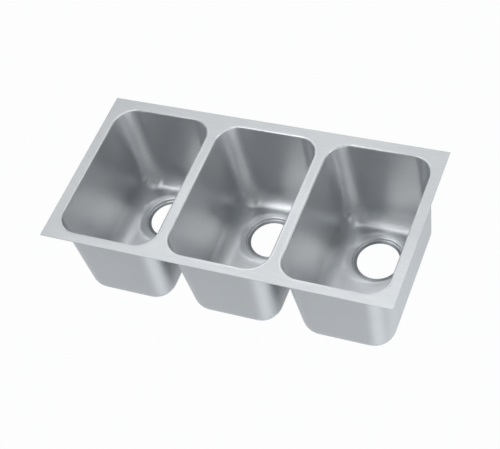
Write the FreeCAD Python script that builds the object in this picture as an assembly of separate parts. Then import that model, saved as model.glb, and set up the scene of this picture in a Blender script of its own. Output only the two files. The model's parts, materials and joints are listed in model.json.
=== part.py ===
"""Three compartment sink bowl unit: three deep-drawn bowls welded into one flat deck plate.

Millimetres. +X runs along the row of bowls, -Y is the front, +Z is up.
The origin is on the floor plane, under the middle of the deck.

Each bowl is one drawn sheet: a rolled rim, drafted walls, a wide floor radius, a flat floor
and a pressed drain seat with a bare round hole. A butt weld, ground flush with the deck,
joins each bowl's trimmed lip to the edge of its cut-out in the deck plate.
"""

import FreeCAD, Part
import math
import os

from FreeCAD import Vector

# Sheet: 18 gauge stainless steel throughout.
SHEET = 1.2

# Deck layout.
OPENING_X = 213.0
OPENING_Y = 329.0
OPENING_CORNER = 43.0
DIVIDER = 25.0
END_MARGIN = 23.0
FRONT_MARGIN = 22.0
REAR_MARGIN = 25.0

# Bowl section. The radii are those of the upper, wetted face of the sheet.
BOWL_DEPTH = 218.0
SIDE_DRAFT = math.radians(3.6)
END_DRAFT = math.radians(1.6)
RIM_RADIUS = 3.0
FLOOR_RADIUS = 38.0
FLOOR_CORNER = 6.0

# Trimmed lip of the bowl and the butt weld round it.
LIP_WIDTH = 2.2
WELD_WIDTH = 1.8
WELD_ROOT = 0.5
WELD_ROOT_ROUND = 0.35

# Drain seat for a 3 1/2 inch basket strainer or lever waste.
DRAIN_RADIUS = 44.5
DRAIN_BACK_OFFSET = 56.0
SEAT_RADIUS = 56.0
SEAT_DEPTH = 4.8
SEAT_BEND = 2.4

# Steps between the sections that shape the rim roll and the floor radius.
RIM_STEPS = 5
FLOOR_STEPS = 9

BOWLS = ("left", "centre", "right")

# Worked out from the driving dimensions.
PITCH = OPENING_X + DIVIDER
DECK_X = 2 * END_MARGIN + len(BOWLS) * OPENING_X + (len(BOWLS) - 1) * DIVIDER
DECK_Y = FRONT_MARGIN + OPENING_Y + REAR_MARGIN
DECK_TOP = BOWL_DEPTH + SEAT_DEPTH + SHEET
BOWL_Y = (FRONT_MARGIN - REAR_MARGIN) / 2
DRAIN_Y = BOWL_Y + DRAIN_BACK_OFFSET
LIP_REACH = RIM_RADIUS + LIP_WIDTH
CUTOUT_REACH = LIP_REACH + WELD_WIDTH


def bowl_x(index):
    """Centre of one bowl along the deck."""
    return (index - (len(BOWLS) - 1) / 2) * PITCH


def rounded_rectangle(x, half_x, half_y, corner, z):
    """A closed wire of four lines and four quarter arcs, centred on a bowl."""
    edges = []
    middle = Vector(x, BOWL_Y, z)
    for turn in range(4):
        a, b = (half_x, half_y) if turn % 2 == 0 else (half_y, half_x)
        spin = FreeCAD.Rotation(Vector(0, 0, 1), 90.0 * turn)
        side_start = Vector(a, corner - b, 0)
        side_end = Vector(a, b - corner, 0)
        diagonal = corner / math.sqrt(2)
        arc_middle = Vector(a - corner + diagonal, b - corner + diagonal, 0)
        arc_end = Vector(a - corner, b, 0)
        p, q, r, s = (middle + spin.multVec(v) for v in (side_start, side_end, arc_middle, arc_end))
        edges.append(Part.LineSegment(p, q).toShape())
        edges.append(Part.Arc(q, r, s).toShape())
    return Part.Wire(edges)


class Side:
    """The section of one drawn wall: how far it stands inside the opening at each depth.

    offset is 0 for the wetted face and SHEET for the outer face. Both faces share the
    centres of the rim roll and of the floor radius.
    """

    def __init__(self, draft, offset):
        self.slope = math.tan(draft)
        self.roll = RIM_RADIUS - offset
        self.sweep = FLOOR_RADIUS + offset
        self.wall_top = RIM_RADIUS - self.roll * math.sin(draft)
        self.wall_top_inset = self.roll * math.cos(draft) - RIM_RADIUS
        self.sweep_centre = BOWL_DEPTH - FLOOR_RADIUS
        self.wall_end = self.sweep_centre + self.sweep * math.sin(draft)
        self.floor_inset = self.wall(self.wall_end) + self.sweep * math.cos(draft)

    def wall(self, depth):
        return self.wall_top_inset + (depth - self.wall_top) * self.slope

    def inset(self, depth):
        if depth < self.wall_top:
            rise = RIM_RADIUS - depth
            return math.sqrt(max(self.roll**2 - rise**2, 0)) - RIM_RADIUS
        if depth < self.wall_end:
            return self.wall(depth)
        drop = depth - self.sweep_centre
        return self.floor_inset - math.sqrt(max(self.sweep**2 - drop**2, 0))


def section_depths(side, draft):
    """Depths below the deck of the sections of the rim roll, the wall and the floor radius."""
    turn = math.pi / 2 - draft
    rolled = [turn * i / RIM_STEPS for i in range(RIM_STEPS + 1)]
    swept = [draft + turn * i / FLOOR_STEPS for i in range(FLOOR_STEPS + 1)]
    rim = [RIM_RADIUS - side.roll * math.cos(angle) for angle in rolled]
    floor = [side.sweep_centre + side.sweep * math.sin(angle) for angle in swept]
    return rim, [rim[-1], floor[0]], floor


def corner_radius(side, depth):
    """Plan radius of the bowl's corners: it opens with the rim roll and tightens to the floor."""
    wall_corner = OPENING_CORNER - side.wall_top_inset
    if depth < side.wall_top:
        return OPENING_CORNER - side.inset(depth)
    if depth < side.wall_end:
        return wall_corner
    bend = math.sqrt(max(side.sweep**2 - (depth - side.sweep_centre) ** 2, 0)) / side.sweep
    start = math.sqrt(side.sweep**2 - (side.wall_end - side.sweep_centre) ** 2) / side.sweep
    return FLOOR_CORNER + (wall_corner - FLOOR_CORNER) * bend / start


def drawn_body(x, offset):
    """Everything inside one face of the drawn sheet, from the rim down to the flat floor."""
    across = Side(SIDE_DRAFT, offset)
    along = Side(END_DRAFT, offset)
    zones = []
    for depths in section_depths(across, SIDE_DRAFT):
        wires = []
        for depth in depths:
            half_x = OPENING_X / 2 - across.inset(depth)
            half_y = OPENING_Y / 2 - along.inset(depth)
            corner = corner_radius(across, depth)
            wires.append(rounded_rectangle(x, half_x, half_y, corner, DECK_TOP - depth))
        zones.append(Part.makeLoft(wires, True))
    return zones[0].fuse(zones[1:])


def seat_body(x, offset):
    """Everything inside one face of the pressed drain seat, as a solid of revolution."""
    floor = DECK_TOP - BOWL_DEPTH - offset
    ledge = floor - SEAT_DEPTH
    upper = SEAT_BEND - offset
    lower = SEAT_BEND + offset
    wall_radius = SEAT_RADIUS - upper
    ledge_radius = wall_radius - lower
    half = math.sqrt(0.5)
    axis_top, axis_low = Vector(0, 0, floor), Vector(0, 0, ledge)
    edge = Vector(SEAT_RADIUS, 0, floor)
    upper_middle = Vector(SEAT_RADIUS - upper * half, 0, floor - upper * (1 - half))
    wall = Vector(wall_radius, 0, floor - upper)
    lower_middle = Vector(wall_radius - lower * (1 - half), 0, ledge + lower * (1 - half))
    ledge_edge = Vector(ledge_radius, 0, ledge)
    outline = Part.Wire(
        [
            Part.LineSegment(axis_low, axis_top).toShape(),
            Part.LineSegment(axis_top, edge).toShape(),
            Part.Arc(edge, upper_middle, wall).toShape(),
            Part.Arc(wall, lower_middle, ledge_edge).toShape(),
            Part.LineSegment(ledge_edge, axis_low).toShape(),
        ]
    )
    body = Part.Face(outline).revolve(Vector(0, 0, 0), Vector(0, 0, 1), 360)
    body.translate(Vector(x, DRAIN_Y, 0))
    return body


def slab(x, reach, z, height):
    """A rounded rectangle that stands a given reach outside the opening, extruded upwards."""
    wire = rounded_rectangle(x, OPENING_X / 2 + reach, OPENING_Y / 2 + reach, OPENING_CORNER + reach, z)
    return Part.Face(wire).extrude(Vector(0, 0, height))


def bowl(index):
    """One drawn bowl: outer body less inner body, with its lip, drain seat and drain hole."""
    x = bowl_x(index)
    outer = drawn_body(x, SHEET).fuse([slab(x, LIP_REACH, DECK_TOP - SHEET, SHEET), seat_body(x, SHEET)])
    inner = drawn_body(x, 0.0).fuse(seat_body(x, 0.0))
    hole = Part.makeCylinder(DRAIN_RADIUS, SEAT_DEPTH + SHEET, Vector(x, DRAIN_Y, 0))
    return outer.cut(inner).cut(hole).removeSplitter()


def rim_weld(index):
    """The butt weld round one bowl: flush on top, with a low rounded root underneath."""
    x = bowl_x(index)
    low = DECK_TOP - SHEET - WELD_ROOT
    ring = slab(x, CUTOUT_REACH, low, SHEET + WELD_ROOT).cut(slab(x, LIP_REACH, low, SHEET + WELD_ROOT))
    root_edges = [e for e in ring.Edges if all(abs(v.Z - low) < 1e-6 for v in e.Vertexes)]
    return ring.makeFillet(WELD_ROOT_ROUND, root_edges)


def deck_plate():
    """The flat plate with square corners and one rounded cut-out for each bowl."""
    corner = Vector(-DECK_X / 2, -DECK_Y / 2, DECK_TOP - SHEET)
    plate = Part.makeBox(DECK_X, DECK_Y, SHEET, corner)
    return plate.cut([slab(bowl_x(i), CUTOUT_REACH, DECK_TOP - SHEET, SHEET) for i in range(len(BOWLS))])


def single_solid(shape):
    """The one solid that a boolean left, so that no compound is exported."""
    solids = shape.Solids
    if len(solids) != 1 or not solids[0].isValid():
        raise RuntimeError(f"expected one valid solid, found {len(solids)}")
    return solids[0]


def main():
    parts = {"deck_plate": deck_plate()}
    for index, name in enumerate(BOWLS):
        parts[f"{name}_bowl"] = bowl(index)
        parts[f"{name}_rim_weld"] = rim_weld(index)
    os.makedirs("parts", exist_ok=True)
    for node, shape in parts.items():
        solid = single_solid(shape)
        solid.exportStep(f"parts/{node}.step")
        box = solid.BoundBox
        print(f"{node}: {solid.Volume:.0f} mm3, {box.XLength:.1f} x {box.YLength:.1f} x {box.ZLength:.1f}")


main()
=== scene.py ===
"""Looks of the three compartment sink: brushed stainless sheet, a pale floor and soft studio light.

Metres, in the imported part's own frame: +X along the row of bowls, -Y the front, +Z up.
The bowls, deck and welds are rebuilt here as finer meshes of the same shape as their CAD nodes.
"""

import json
import math

import bmesh
import bpy
from mathutils import Matrix, Vector


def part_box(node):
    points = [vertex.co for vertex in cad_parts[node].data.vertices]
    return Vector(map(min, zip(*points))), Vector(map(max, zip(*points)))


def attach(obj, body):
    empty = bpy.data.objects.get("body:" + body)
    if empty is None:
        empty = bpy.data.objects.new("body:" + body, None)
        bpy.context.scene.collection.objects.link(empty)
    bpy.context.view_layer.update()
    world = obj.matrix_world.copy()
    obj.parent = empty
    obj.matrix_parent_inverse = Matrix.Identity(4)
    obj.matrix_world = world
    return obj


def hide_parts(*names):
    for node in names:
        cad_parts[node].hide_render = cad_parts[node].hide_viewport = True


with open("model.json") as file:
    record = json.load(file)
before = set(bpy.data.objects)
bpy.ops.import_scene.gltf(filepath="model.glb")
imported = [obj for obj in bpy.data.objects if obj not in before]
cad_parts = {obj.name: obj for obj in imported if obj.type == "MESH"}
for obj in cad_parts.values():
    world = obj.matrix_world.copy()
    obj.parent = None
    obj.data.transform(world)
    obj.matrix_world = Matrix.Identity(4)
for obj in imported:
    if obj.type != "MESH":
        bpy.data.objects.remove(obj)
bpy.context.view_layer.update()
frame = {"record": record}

MM = 0.001

# Driving dimensions of the sheet metal, the same as the CAD model's.
SHEET = 1.2 * MM
RIM_RADIUS = 3.0 * MM
LIP_WIDTH = 2.2 * MM
WELD_WIDTH = 1.8 * MM
WELD_ROOT = 0.5 * MM
OPENING_CORNER = 43.0 * MM
SIDE_DRAFT = math.radians(3.6)
END_DRAFT = math.radians(1.6)
FLOOR_RADIUS = 38.0 * MM
FLOOR_CORNER = 6.0 * MM
DRAIN_RADIUS = 44.5 * MM
SEAT_RADIUS = 56.0 * MM
SEAT_DEPTH = 4.8 * MM
SEAT_BEND = 2.4 * MM

# Detail that only these meshes have: softened edges round the deck and the drain holes, and
# ripples that take up this share of a weld root's depth.
EDGE_ROUND = 0.3 * MM
RIPPLE_PITCH = 2.0 * MM
RIPPLE_SHARE = 0.28

BOWLS = ("left", "centre", "right")

# Places read from the frame.
deck_low, deck_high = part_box("deck_plate")
DECK_TOP = deck_high.z
BOWL_DEPTH = DECK_TOP - SEAT_DEPTH - SHEET
LIP_REACH = RIM_RADIUS + LIP_WIDTH
CUTOUT_REACH = LIP_REACH + WELD_WIDTH
WELD_MIDDLE = (LIP_REACH + CUTOUT_REACH) / 2

# How finely the meshes are divided. DRAIN_STEP is an angle seen from the drain.
RIM_STEPS = 7
WALL_STEPS = 14
SWEEP_STEPS = 18
FLOOR_STEPS = 4
BEND_STEPS = 5
CORNER_STEPS = 16
ROOT_STEPS = 6
RIPPLE_STEPS = 4
FEWEST_SIDE_STEPS = 4
DRAIN_STEP = math.radians(5)

# Edges that turn by more than this are shaded as sharp.
BOWL_SHARP = math.radians(40)
WELD_SHARP = math.radians(50)


class Bowl:
    """Where one bowl is: its centre, its half opening at the throat and its drain."""

    def __init__(self, side):
        self.side = side
        low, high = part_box(f"{side}_bowl")
        self.x = (low.x + high.x) / 2
        self.y = (low.y + high.y) / 2
        self.half_x = (high.x - low.x) / 2 - LIP_REACH
        self.half_y = (high.y - low.y) / 2 - LIP_REACH
        mounts = {m["name"]: m for m in frame["record"]["mounts"]}
        self.drain_y = mounts[f"{side}_drain"]["pos_m"][1]


bowls = [Bowl(side) for side in BOWLS]


# ---------------------------------------------------------------- meshes


class Wall:
    """The section of one drawn wall: how far it stands inside the throat at each depth.

    offset is 0 for the wetted face and SHEET for the outer face, which share their centres.
    """

    def __init__(self, draft, offset):
        self.draft = draft
        self.roll = RIM_RADIUS - offset
        self.sweep = FLOOR_RADIUS + offset
        self.wall_top = RIM_RADIUS - self.roll * math.sin(draft)
        self.wall_top_inset = self.roll * math.cos(draft) - RIM_RADIUS
        self.sweep_centre = BOWL_DEPTH - FLOOR_RADIUS
        self.wall_end = self.sweep_centre + self.sweep * math.sin(draft)
        self.floor_inset = self.wall(self.wall_end) + self.sweep * math.cos(draft)

    def wall(self, depth):
        return self.wall_top_inset + (depth - self.wall_top) * math.tan(self.draft)

    def inset(self, depth):
        if depth < self.wall_top:
            rise = RIM_RADIUS - depth
            return math.sqrt(max(self.roll**2 - rise**2, 0)) - RIM_RADIUS
        if depth < self.wall_end:
            return self.wall(depth)
        drop = depth - self.sweep_centre
        return self.floor_inset - math.sqrt(max(self.sweep**2 - drop**2, 0))


def steps(low, high, count):
    """count + 1 evenly spaced values from low to high."""
    return [low + (high - low) * i / count for i in range(count + 1)]


def corner_radius(wall, depth):
    """Plan radius of a bowl's corners: it opens with the rim roll and tightens to the floor."""
    full = OPENING_CORNER - wall.wall_top_inset
    if depth < wall.wall_top:
        return OPENING_CORNER - wall.inset(depth)
    if depth < wall.wall_end:
        return full
    flat = wall.floor_inset - wall.wall(wall.wall_end)
    share = (wall.inset(depth) - wall.wall(wall.wall_end)) / flat
    return full + (FLOOR_CORNER - full) * share


def side_fractions(bowl):
    """Where the points stand along each side, as fractions of its straight part.

    They are spread evenly in angle as seen from the drain, so that the floor's quads run
    cleanly into the round seat.
    """
    across, along = Wall(SIDE_DRAFT, 0.0), Wall(END_DRAFT, 0.0)
    half_x = bowl.half_x - across.floor_inset
    half_y = bowl.half_y - along.floor_inset
    drain = bowl.drain_y - bowl.y
    reach_x, reach_y = half_x - FLOOR_CORNER, half_y - FLOOR_CORNER

    def spread(distance, low, high):
        a, b = math.atan2(low, distance), math.atan2(high, distance)
        count = max(FEWEST_SIDE_STEPS, math.ceil((b - a) / DRAIN_STEP))
        return [(distance * math.tan(t) - low) / (high - low) for t in steps(a, b, count)]

    right = spread(half_x, -reach_y - drain, reach_y - drain)
    rear = spread(half_y - drain, -reach_x, reach_x)
    front = spread(half_y + drain, -reach_x, reach_x)
    left = [1 - f for f in reversed(right)]
    return right, rear, left, front


def quarter_turn(turn):
    """The rotation that takes the right side to the rear one, the left one or the front one."""
    return Matrix.Rotation(math.pi / 2 * turn, 3, "Z")


def ring(bowl, half_x, half_y, corner, z, fractions):
    """Points of one rounded rectangle, anticlockwise from the front end of the right side."""
    points = []
    for turn, share in enumerate(fractions):
        a, b = (half_x, half_y) if turn % 2 == 0 else (half_y, half_x)
        side = [Vector((a, (corner - b) + 2 * (b - corner) * f, 0)) for f in share]
        middle = Vector((a - corner, b - corner, 0))
        angles = steps(0, math.pi / 2, CORNER_STEPS)[1:-1]
        arc = [middle + Vector((math.cos(t), math.sin(t), 0)) * corner for t in angles]
        points += [quarter_turn(turn) @ p for p in side + arc]
    centre = Vector((bowl.x, bowl.y, z))
    return [centre + p for p in points]


def wall_rings(bowl, offset, fractions):
    """Rings of one face of the sheet, from the lip down to the edge of the flat floor."""
    across, along = Wall(SIDE_DRAFT, offset), Wall(END_DRAFT, offset)
    rings = []

    def add(depth, reach=0.0):
        half_x = bowl.half_x - across.inset(depth) + reach
        half_y = bowl.half_y - along.inset(depth) + reach
        corner = corner_radius(across, depth) + reach
        rings.append(ring(bowl, half_x, half_y, corner, DECK_TOP - depth, fractions))

    for reach in (LIP_WIDTH, LIP_WIDTH / 2):
        add(offset, reach)
    for angle in steps(0, math.pi / 2 - SIDE_DRAFT, RIM_STEPS):
        add(RIM_RADIUS - across.roll * math.cos(angle))
    for depth in steps(across.wall_top, across.wall_end, WALL_STEPS)[1:]:
        add(depth)
    for angle in steps(SIDE_DRAFT, math.pi / 2, SWEEP_STEPS)[1:]:
        add(across.sweep_centre + across.sweep * math.sin(angle))
    return rings


def floor_rings(bowl, offset, edge):
    """Rings of the flat floor and its pressed seat, from the floor's edge to the drain hole."""
    floor = DECK_TOP - BOWL_DEPTH - offset
    drain = Vector((bowl.x, bowl.drain_y, floor))
    spokes = [(p - drain).normalized() for p in edge]
    rings = []

    def seat(radius, z):
        rings.append([Vector((drain.x + s.x * radius, drain.y + s.y * radius, z)) for s in spokes])

    for share in steps(0, 1, FLOOR_STEPS)[1:-1]:
        rings.append([p.lerp(drain + s * SEAT_RADIUS, share) for p, s in zip(edge, spokes)])
    upper, lower = SEAT_BEND - offset, SEAT_BEND + offset
    for angle in steps(0, math.pi / 2, BEND_STEPS):
        seat(SEAT_RADIUS - upper * math.sin(angle), floor - upper * (1 - math.cos(angle)))
    wall_radius = SEAT_RADIUS - upper
    for angle in steps(0, math.pi / 2, BEND_STEPS)[1:]:
        seat(wall_radius - lower * (1 - math.cos(angle)), floor - upper - lower * math.sin(angle))
    ledge = floor - upper - lower
    seat(DRAIN_RADIUS + 2 * EDGE_ROUND, ledge)
    seat(DRAIN_RADIUS + EDGE_ROUND, ledge)
    turned_edge = ledge - EDGE_ROUND if offset == 0 else ledge + EDGE_ROUND
    seat(DRAIN_RADIUS, turned_edge)
    return rings


def drawn_face(bowl, offset):
    """Rings of one whole face of the drawn sheet, from the lip to the edge of the drain hole."""
    walls = wall_rings(bowl, offset, side_fractions(bowl))
    return walls + floor_rings(bowl, offset, walls[-1])


def skin(name, rings, sharp):
    """A closed smooth mesh of quads through rings of equal length, the last joined to the first."""
    count = len(rings[0])
    faces = []
    for i in range(len(rings)):
        j = (i + 1) % len(rings)
        for k in range(count):
            n = (k + 1) % count
            faces.append((i * count + k, i * count + n, j * count + n, j * count + k))
    mesh = bpy.data.meshes.new(name)
    mesh.from_pydata([tuple(p) for r in rings for p in r], [], faces)
    mesh.polygons.foreach_set("use_smooth", [True] * len(mesh.polygons))
    mesh.update()

    work = bmesh.new()
    work.from_mesh(mesh)
    bmesh.ops.recalc_face_normals(work, faces=work.faces)
    for edge in work.edges:
        edge.smooth = edge.calc_face_angle(0.0) < sharp
    work.to_mesh(mesh)
    work.free()
    return mesh


def bowl_mesh(bowl):
    """The drawn sheet: down its wetted face to the drain hole, and back up its outer face."""
    rings = drawn_face(bowl, 0.0) + drawn_face(bowl, SHEET)[::-1]
    return skin(f"{bowl.side}_bowl_skin", rings, BOWL_SHARP)


def fill(work, loops):
    """Fills the flat area between closed loops of vertices."""
    edges = []
    for loop in loops:
        for a, b in zip(loop, loop[1:] + loop[:1]):
            edges.append(work.edges.get((a, b)) or work.edges.new((a, b)))
    bmesh.ops.triangle_fill(work, use_beauty=True, use_dissolve=False, edges=edges)


def deck_mesh():
    """The flat plate: softened outer edges, and cut-outs that meet the welds squarely."""
    work = bmesh.new()

    def border(reach, z):
        x, y = deck_high.x + reach, deck_high.y + reach
        corners = [(-x, deck_low.y - reach), (x, deck_low.y - reach), (x, y), (-x, y)]
        return [work.verts.new((cx, cy, z)) for cx, cy in corners]

    def bridge(a, b):
        for i in range(len(a)):
            j = (i + 1) % len(a)
            work.faces.new((a[i], a[j], b[j], b[i]))

    low = DECK_TOP - SHEET
    outline = [border(-EDGE_ROUND, DECK_TOP), border(0, DECK_TOP - EDGE_ROUND)]
    outline += [border(0, low + EDGE_ROUND), border(-EDGE_ROUND, low)]
    for a, b in zip(outline, outline[1:]):
        bridge(a, b)
    tops, bottoms = [outline[0]], [outline[-1]]
    for bowl in bowls:
        half_x, half_y = bowl.half_x + CUTOUT_REACH, bowl.half_y + CUTOUT_REACH
        corner = OPENING_CORNER + CUTOUT_REACH
        for loops, z in ((tops, DECK_TOP), (bottoms, low)):
            points = ring(bowl, half_x, half_y, corner, z, side_fractions(bowl))
            loops.append([work.verts.new(p) for p in points])
        bridge(tops[-1], bottoms[-1])
    fill(work, tops)
    fill(work, bottoms)
    bmesh.ops.recalc_face_normals(work, faces=work.faces)
    mesh = bpy.data.meshes.new("deck_plate_skin")
    work.to_mesh(mesh)
    work.free()
    return mesh


def even_ring(bowl, reach, count):
    """Points round one bowl, at one reach outside its throat.

    They are evenly spaced along the weld's middle line, so that rings of every reach line up.
    """
    r = OPENING_CORNER
    sides = [2 * (bowl.half_y - r), 2 * (bowl.half_x - r)] * 2
    corner = math.pi / 2 * (r + WELD_MIDDLE)
    total = sum(sides) + 4 * corner
    points = []
    for i in range(count):
        along = total * i / count
        turn = 0
        while along >= sides[turn] + corner:
            along -= sides[turn] + corner
            turn += 1
        a, b = (bowl.half_x, bowl.half_y) if turn % 2 == 0 else (bowl.half_y, bowl.half_x)
        if along < sides[turn]:
            p = Vector((a + reach, r - b + along, 0))
        else:
            angle = (along - sides[turn]) / corner * math.pi / 2
            p = Vector((a - r, b - r, 0)) + Vector((math.cos(angle), math.sin(angle), 0)) * (r + reach)
        p = quarter_turn(turn) @ p
        points.append((bowl.x + p.x, bowl.y + p.y))
    return points


def weld_mesh(bowl):
    """The butt weld: ground flush on top, with the ripples of its root left underneath."""
    low = DECK_TOP - SHEET
    half = WELD_WIDTH / 2
    length = 4 * (bowl.half_x + bowl.half_y)
    count = int(length / RIPPLE_PITCH) * RIPPLE_STEPS
    waves = [abs(math.sin(math.pi * i / RIPPLE_STEPS)) for i in range(count)]
    depths = [WELD_ROOT * (1 - RIPPLE_SHARE + RIPPLE_SHARE * wave) for wave in waves]

    # Each point of the section: its place across the weld, its height, and its share of the root.
    section = [(-half, DECK_TOP, 0.0), (half, DECK_TOP, 0.0), (half, low, 0.0)]
    section += [(half * math.cos(t), low, math.sin(t)) for t in steps(0, math.pi, ROOT_STEPS)[1:-1]]
    section += [(-half, low, 0.0)]
    rings = []
    for across, height, root in section:
        points = even_ring(bowl, WELD_MIDDLE + across, count)
        rings.append([Vector((x, y, height - root * d)) for (x, y), d in zip(points, depths)])
    return skin(f"{bowl.side}_rim_weld_skin", rings, WELD_SHARP)


def place(mesh, material, slot, *nodes):
    """An object for the mesh that rides on the root body and stands for CAD nodes."""
    piece = bpy.data.objects.new(mesh.name, mesh)
    bpy.context.scene.collection.objects.link(piece)
    mesh.materials.append(material)
    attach(piece, "root")
    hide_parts(*nodes)
    return piece


# ---------------------------------------------------------------- materials

# Lightest and darkest tone of each finish, the painted shade on the drain's ledge, and the tones of a
# weld's root.
SATIN_LIGHT = (0.55, 0.563, 0.575, 1)
SATIN_DARK = (0.49, 0.502, 0.514, 1)
STEEL_LIGHT = (0.68, 0.696, 0.712, 1)
STEEL_DARK = (0.625, 0.640, 0.655, 1)
MILL_LIGHT = (0.54, 0.566, 0.59, 1)
MILL_DARK = (0.490, 0.514, 0.537, 1)
# A dark tone painted on the drain's ledge as painted shade in its recess.
LEDGE_PAINTED_SHADE = (0.30, 0.315, 0.33, 1)
ROOT_GREY = (0.34, 0.33, 0.33, 1)
ROOT_STRAW = (0.52, 0.47, 0.40, 1)

# Roughness of each finish, from one end of its noise to the other.
SATIN_ROUGHNESS = (0.42, 0.34)
POLISHED_ROUGHNESS = (0.36, 0.41)
MILL_ROUGHNESS = (0.46, 0.51)
HAND_ROUGHNESS = (0.5, 0.66)
ROOT_ROUGHNESS = 0.42

# How far the brushed lines stretch a highlight, and how deep they are.
SATIN_STRETCH = 0.4
SATIN_LINE_DEPTH = 0.06 * MM
POLISHED_STRETCH = 0.8
POLISHED_LINE_DEPTH = 0.05 * MM

# Features per metre: along the brushed lines, across fine and wide ones, and in hand-worked steel.
LONG = 18.0
FINE = 1500.0
WIDE = 420.0
HAND_MARKS = (110.0, 110.0, 110.0)

# How far the lines wander in hand-worked steel, as a slope.
HAND_WANDER = 0.7

# Where the finishes of a bowl change, as depths below the deck and radii round the drain.
LIP_START = 0.05 * MM
LIP_END = 0.7 * MM
# Inside these radii round the drain, the ledge gets painted shade.
SHADED_LEDGE_INNER = 50 * MM
SHADED_LEDGE_OUTER = 52 * MM
SWIRL_OUTER = 84 * MM

# A bowl's face is an inner one where it looks towards a point this far above its mouth.
LOOKOUT = 20 * MM
SIDE_BLEND = 2 * MM

# The changes from wall to floor, from steep to level lines and from a weld's root to its top, as
# ranges of the normal's height. A floor corner is where the normal is both diagonal and part raised.
FLAT_RANGE = (0.45, 0.85)
LEVEL_RANGE = (0.88, 0.955)
GROUND_RANGE = (0.2, 0.8)
DIAGONAL_RANGE = (0.04, 0.16)
RAISED_RANGE = (0.12, 0.4)

# Soft clouds in each finish as features per metre, and the part of a noise's range that is used.
SATIN_CLOUD = (5.0, 7.0, 7.0)
BOWL_CLOUD = (9.0, 9.0, 9.0)
TINT_CLOUD = (60.0, 60.0, 60.0)
CLOUD_RANGE = (0.3, 0.7)
MARKS_RANGE = (0.35, 0.65)
SHEEN_RANGE = (0.4, 0.9)

X_AXIS = (1.0, 0.0, 0.0)
Y_AXIS = (0.0, 1.0, 0.0)
Z_AXIS = (0.0, 0.0, 1.0)


class Nodes:
    """Short calls for building one material's node tree."""

    def __init__(self, name):
        self.material = bpy.data.materials.new(name)
        self.material.use_nodes = True
        self.tree = self.material.node_tree
        self.tree.nodes.clear()
        self.place = self.add("ShaderNodeTexCoord").outputs["Object"]
        self.normal = self.add("ShaderNodeNewGeometry").outputs["Normal"]

    def add(self, kind, inputs=(), **settings):
        node = self.tree.nodes.new(kind)
        for key, value in settings.items():
            setattr(node, key, value)
        for key, value in dict(inputs).items():
            self.feed(node.inputs[key], value)
        return node

    def feed(self, socket, value):
        if isinstance(value, bpy.types.NodeSocket):
            self.tree.links.new(value, socket)
        else:
            socket.default_value = value

    def math(self, operation, *values):
        return self.add("ShaderNodeMath", enumerate(values), operation=operation).outputs[0]

    def vector(self, operation, *values):
        node = self.add("ShaderNodeVectorMath", enumerate(values), operation=operation)
        return node.outputs["Value" if operation in ("DOT_PRODUCT", "LENGTH") else 0]

    def noise(self, stretch, detail=2.0, place=None):
        """Noise of the given number of features per metre along each axis."""
        spot = self.vector("MULTIPLY", place or self.place, stretch)
        settings = {"Vector": spot, "Scale": 1.0, "Detail": detail, "Roughness": 0.55}
        return self.add("ShaderNodeTexNoise", settings).outputs["Fac"]

    def blend(self, a, b, share):
        """The sum of a and b, of which b makes up the given share."""
        return self.math("ADD", self.math("MULTIPLY", a, 1 - share), self.math("MULTIPLY", b, share))

    def smooth(self, value, low, high, to_low=0.0, to_high=1.0):
        """A smooth step from to_low, where the value is low, to to_high, where it is high."""
        keys = {"Value": value, "From Min": low, "From Max": high, "To Min": to_low, "To Max": to_high}
        return self.add("ShaderNodeMapRange", keys, interpolation_type="SMOOTHSTEP").outputs[0]

    def mix(self, share, a, b):
        node = self.add("ShaderNodeMix", {0: share, 2: a, 3: b}, data_type="FLOAT")
        return node.outputs[0]

    def mix_vector(self, share, a, b):
        node = self.add("ShaderNodeMix", {0: share, 4: a, 5: b}, data_type="VECTOR")
        return node.outputs[1]

    def mix_colour(self, share, a, b):
        node = self.add("ShaderNodeMix", {0: share, 6: a, 7: b}, data_type="RGBA")
        return node.outputs[2]

    def finish(self, colour, roughness, lines, across, stretch, depth):
        """Brushed metal. across points across its lines, the way that its highlights stretch."""
        bumped = self.add("ShaderNodeBump", {"Strength": 1.0, "Distance": depth, "Height": lines})
        keys = {"Base Color": colour, "Metallic": 1.0, "Roughness": roughness}
        keys.update({"Anisotropic": stretch, "Normal": bumped.outputs[0], "Tangent": across})
        shader = self.add("ShaderNodeBsdfPrincipled", keys)
        self.surface(shader)
        return self.material

    def surface(self, shader):
        output = self.add("ShaderNodeOutputMaterial")
        self.tree.links.new(shader.outputs[0], output.inputs["Surface"])


def grain(n, *axes):
    """Fine and wide brushed lines along one axis, or level lines round a wall along axes 0 and 1."""
    fine = [FINE, FINE, FINE]
    wide = [WIDE, WIDE, WIDE]
    for axis in axes:
        fine[axis] = 2 * LONG
        wide[axis] = LONG
    return n.blend(n.noise(fine), n.noise(wide), 0.45)


def satin(n):
    """Lines, colour and roughness of the finish shared by the deck, the ground welds and the lips."""
    lines = grain(n, 0)
    cloud = n.noise(SATIN_CLOUD, 3.0)
    shade = n.smooth(n.blend(lines, cloud, 0.2), *CLOUD_RANGE)
    colour = n.mix_colour(shade, SATIN_DARK, SATIN_LIGHT)
    sheen = n.math("ADD", lines, n.math("MULTIPLY", cloud, 0.3))
    roughness = n.smooth(sheen, *SHEEN_RANGE, *SATIN_ROUGHNESS)
    return lines, colour, roughness


def deck_steel():
    """Satin sheet with a straight grain along the deck."""
    n = Nodes("deck_satin_steel")
    lines, colour, roughness = satin(n)
    return n.finish(colour, roughness, lines, Y_AXIS, SATIN_STRETCH, SATIN_LINE_DEPTH)


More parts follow.
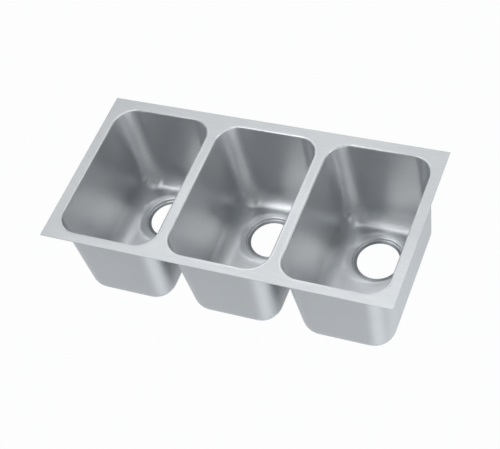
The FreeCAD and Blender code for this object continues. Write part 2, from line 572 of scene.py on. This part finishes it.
class Zones:
    """Where the finishes of one bowl lie, as shares from 0 to 1.

    spot is the level way from the drain's middle to the shaded place, and radius its length.
    """

    def __init__(self, n, bowl):
        lookout = (bowl.x, bowl.y, DECK_TOP + LOOKOUT)
        away = n.vector("DOT_PRODUCT", n.normal, n.vector("SUBTRACT", n.place, lookout))
        self.outside = n.smooth(away, -SIDE_BLEND, SIDE_BLEND)
        height = n.vector("DOT_PRODUCT", n.place, Z_AXIS)
        self.lip = n.smooth(height, DECK_TOP - LIP_END, DECK_TOP - LIP_START)

        upright = n.math("ABSOLUTE", n.vector("DOT_PRODUCT", n.normal, Z_AXIS))
        self.flat = n.smooth(upright, *FLAT_RANGE)
        self.level = n.smooth(upright, *LEVEL_RANGE)
        slope_x = n.vector("DOT_PRODUCT", n.normal, X_AXIS)
        slope_y = n.vector("DOT_PRODUCT", n.normal, Y_AXIS)
        diagonal = n.math("ABSOLUTE", n.math("MULTIPLY", slope_x, slope_y))
        raised = n.smooth(upright, *RAISED_RANGE)
        self.corner = n.math("MULTIPLY", n.smooth(diagonal, *DIAGONAL_RANGE), raised)

        drain = (bowl.x, bowl.drain_y, DECK_TOP - BOWL_DEPTH)
        self.spot = n.vector("MULTIPLY", n.vector("SUBTRACT", n.place, drain), (1.0, 1.0, 0.0))
        self.radius = n.vector("LENGTH", self.spot)
        # The share of the drain's ledge that is painted darker as painted shade.
        self.ledge = n.smooth(self.radius, SHADED_LEDGE_INNER, SHADED_LEDGE_OUTER, 1.0, 0.0)
        near_drain = n.smooth(self.radius, SEAT_RADIUS, SWIRL_OUTER, 1.0, 0.0)
        self.swirl = n.math("MULTIPLY", near_drain, self.flat)


def bowl_lines(n, zones):
    """Level lines on the walls, lines from front to back on the floor, and rings round the drain."""
    turned = n.add("ShaderNodeCombineXYZ", {"X": zones.radius, "Y": 0.0, "Z": 0.0}).outputs[0]
    rings = n.noise((FINE, 1.0, 1.0), 2.0, turned)
    return n.mix(zones.swirl, n.mix(zones.flat, grain(n, 0, 1), grain(n, 1)), rings)


def across_lines(n, zones):
    """The way across a bowl's lines, which wanders in the hand-worked corners of the floor."""
    level = n.vector("CROSS_PRODUCT", Z_AXIS, n.normal)
    steep = n.vector("NORMALIZE", n.vector("CROSS_PRODUCT", n.normal, level))
    wander = n.smooth(n.noise(HAND_MARKS, 1.0), *MARKS_RANGE, -HAND_WANDER, HAND_WANDER)
    sideways = n.vector("MULTIPLY", level, n.math("MULTIPLY", zones.corner, wander))
    up_wall = n.vector("NORMALIZE", n.vector("ADD", steep, sideways))
    across = n.mix_vector(zones.level, up_wall, X_AXIS)
    across = n.mix_vector(zones.swirl, across, n.vector("NORMALIZE", zones.spot))
    across = n.mix_vector(zones.lip, across, Y_AXIS)
    return n.vector("NORMALIZE", across)


def bowl_steel(bowl):
    """Drawn sheet: polished inside with painted shade on the drain's ledge, mill finish outside, and
    the deck's grain on the flat lip.
    """
    n = Nodes(f"{bowl.side}_bowl_steel")
    zones = Zones(n, bowl)
    satin_lines, satin_colour, satin_roughness = satin(n)
    lines = n.mix(zones.lip, bowl_lines(n, zones), satin_lines)
    cloud = n.noise(BOWL_CLOUD, 3.0)

    shade = n.smooth(n.blend(lines, cloud, 0.3), *CLOUD_RANGE)
    # The drain's ledge takes a dark painted shade in place of the polished tone.
    inner = n.mix_colour(zones.ledge, n.mix_colour(shade, STEEL_DARK, STEEL_LIGHT), LEDGE_PAINTED_SHADE)
    outer = n.mix_colour(shade, MILL_DARK, MILL_LIGHT)
    colour = n.mix_colour(zones.lip, n.mix_colour(zones.outside, inner, outer), satin_colour)

    polished = n.smooth(cloud, *CLOUD_RANGE, *POLISHED_ROUGHNESS)
    hand_worked = n.smooth(n.noise(HAND_MARKS, 2.0), *MARKS_RANGE, *HAND_ROUGHNESS)
    polished = n.mix(zones.corner, polished, hand_worked)
    mill = n.smooth(cloud, *CLOUD_RANGE, *MILL_ROUGHNESS)
    roughness = n.mix(zones.lip, n.mix(zones.outside, polished, mill), satin_roughness)
    across = across_lines(n, zones)
    return n.finish(colour, roughness, lines, across, POLISHED_STRETCH, POLISHED_LINE_DEPTH)


def weld_steel():
    """Weld metal: blended into the deck's grain on top, heat-tinted straw and grey at the root."""
    n = Nodes("weld_steel")
    upright = n.vector("DOT_PRODUCT", n.normal, Z_AXIS)
    ground = n.smooth(upright, *GROUND_RANGE)
    lines, satin_colour, satin_roughness = satin(n)
    tint = n.smooth(n.noise(TINT_CLOUD, 2.0), *MARKS_RANGE)
    colour = n.mix_colour(ground, n.mix_colour(tint, ROOT_GREY, ROOT_STRAW), satin_colour)
    roughness = n.mix(ground, ROOT_ROUGHNESS, satin_roughness)
    return n.finish(colour, roughness, lines, Y_AXIS, SATIN_STRETCH, SATIN_LINE_DEPTH)


# ---------------------------------------------------------------- the studio

LIGHT_COLOUR = (0.975, 0.99, 1.0)
LIGHT_DISTANCE = 2.4
SKY_COLOUR = (0.96, 0.985, 1.0, 1)
SKY_STRENGTH = 0.31
FLOOR_COLOUR = (0.995, 0.998, 1.0, 1)
FLOOR_STRENGTH = 0.985
FLOOR_REACH = 30.0
FLOOR_DROP = 0.5 * MM


def direction(azimuth, elevation):
    """The way out from the sink: azimuth 0 is in front of it and 90 to its right."""
    a, e = math.radians(azimuth), math.radians(elevation)
    return Vector((math.sin(a) * math.cos(e), -math.cos(a) * math.cos(e), math.sin(e)))


def softbox(name, azimuth, elevation, size, power, distance=LIGHT_DISTANCE):
    """A rectangular light aimed at the sink's middle, with its width and height in size."""
    towards = direction(azimuth, elevation)
    data = bpy.data.lights.new(name, "AREA")
    data.shape = "RECTANGLE"
    data.size, data.size_y = size
    data.energy = power
    data.color = LIGHT_COLOUR
    lamp = bpy.data.objects.new(name, data)
    lamp.location = Vector((0, 0, DECK_TOP / 2)) + towards * distance
    lamp.rotation_euler = towards.to_track_quat("Z", "Y").to_euler()
    lamp.visible_camera = False
    bpy.context.scene.collection.objects.link(lamp)


def lights():
    """Softboxes all round and overhead: azimuth, elevation, width and height, and power in watts."""
    softbox("low_front_right", 36, 11, (1.8, 0.8), 22)
    softbox("right", 96, 32, (1.3, 0.7), 9.5, distance=1.6)
    softbox("right_top", 90, 58, (1.2, 0.8), 8)
    softbox("back", 205, 20, (1.8, 1.2), 6)
    softbox("overhead", 202, 56, (2.6, 1.6), 13)
    softbox("left_top", 300, 66, (1.0, 0.8), 7)
    softbox("top", 258, 74, (1.4, 0.5), 6.5)
    softbox("left", 295, 24, (1.0, 1.0), 3)
    softbox("front", 8, 28, (1.2, 0.7), 4)


def sky():
    """A dim even sky, and the Standard view transform, which leaves its colours plain."""
    scene = bpy.context.scene
    scene.view_settings.view_transform = "Standard"
    scene.world = bpy.data.worlds.new("soft_studio")
    scene.world.use_nodes = True
    background = scene.world.node_tree.nodes["Background"]
    background.inputs["Color"].default_value = SKY_COLOUR
    background.inputs["Strength"].default_value = SKY_STRENGTH


def pale_floor():
    """A floor that shines evenly, just under the sink, and is see-through from below."""
    n = Nodes("pale_floor")
    emission = n.add("ShaderNodeEmission", {"Color": FLOOR_COLOUR, "Strength": FLOOR_STRENGTH})
    clear = n.add("ShaderNodeBsdfTransparent")
    behind = n.add("ShaderNodeNewGeometry").outputs["Backfacing"]
    n.surface(n.add("ShaderNodeMixShader", {0: behind, 1: emission.outputs[0], 2: clear.outputs[0]}))

    mesh = bpy.data.meshes.new("floor")
    corners = [(-1, -1), (1, -1), (1, 1), (-1, 1)]
    mesh.from_pydata([(x * FLOOR_REACH, y * FLOOR_REACH, 0) for x, y in corners], [], [(0, 1, 2, 3)])
    mesh.materials.append(n.material)
    floor = bpy.data.objects.new("floor", mesh)
    floor.location.z = -FLOOR_DROP
    bpy.context.scene.collection.objects.link(floor)


def camera():
    """Looks down from the front right, rolled so that the row of bowls slopes across the frame."""
    back = direction(34.668, 50.846)
    roll = math.radians(-17.134)
    aim = Vector((0.0425, -0.0672, DECK_TOP))
    distance = 2.4661
    right = Vector((0, 0, 1)).cross(back).normalized()
    up = back.cross(right)
    turned_right = right * math.cos(roll) + up * math.sin(roll)
    turned_up = up * math.cos(roll) - right * math.sin(roll)
    data = bpy.data.cameras.new("camera")
    data.lens = 92.24
    data.sensor_width = 36.0
    data.sensor_fit = "HORIZONTAL"
    seen = bpy.data.objects.new("camera", data)
    turn = Matrix((turned_right, turned_up, back)).transposed().to_4x4()
    seen.matrix_world = Matrix.Translation(aim + back * distance) @ turn
    bpy.context.scene.collection.objects.link(seen)
    bpy.context.scene.camera = seen


place(deck_mesh(), deck_steel(), "deck_sheet", "deck_plate")
weld = weld_steel()
for bowl in bowls:
    place(bowl_mesh(bowl), bowl_steel(bowl), "drawn_sheet", f"{bowl.side}_bowl")
    place(weld_mesh(bowl), weld, "weld", f"{bowl.side}_rim_weld")
sky()
pale_floor()
lights()
camera()
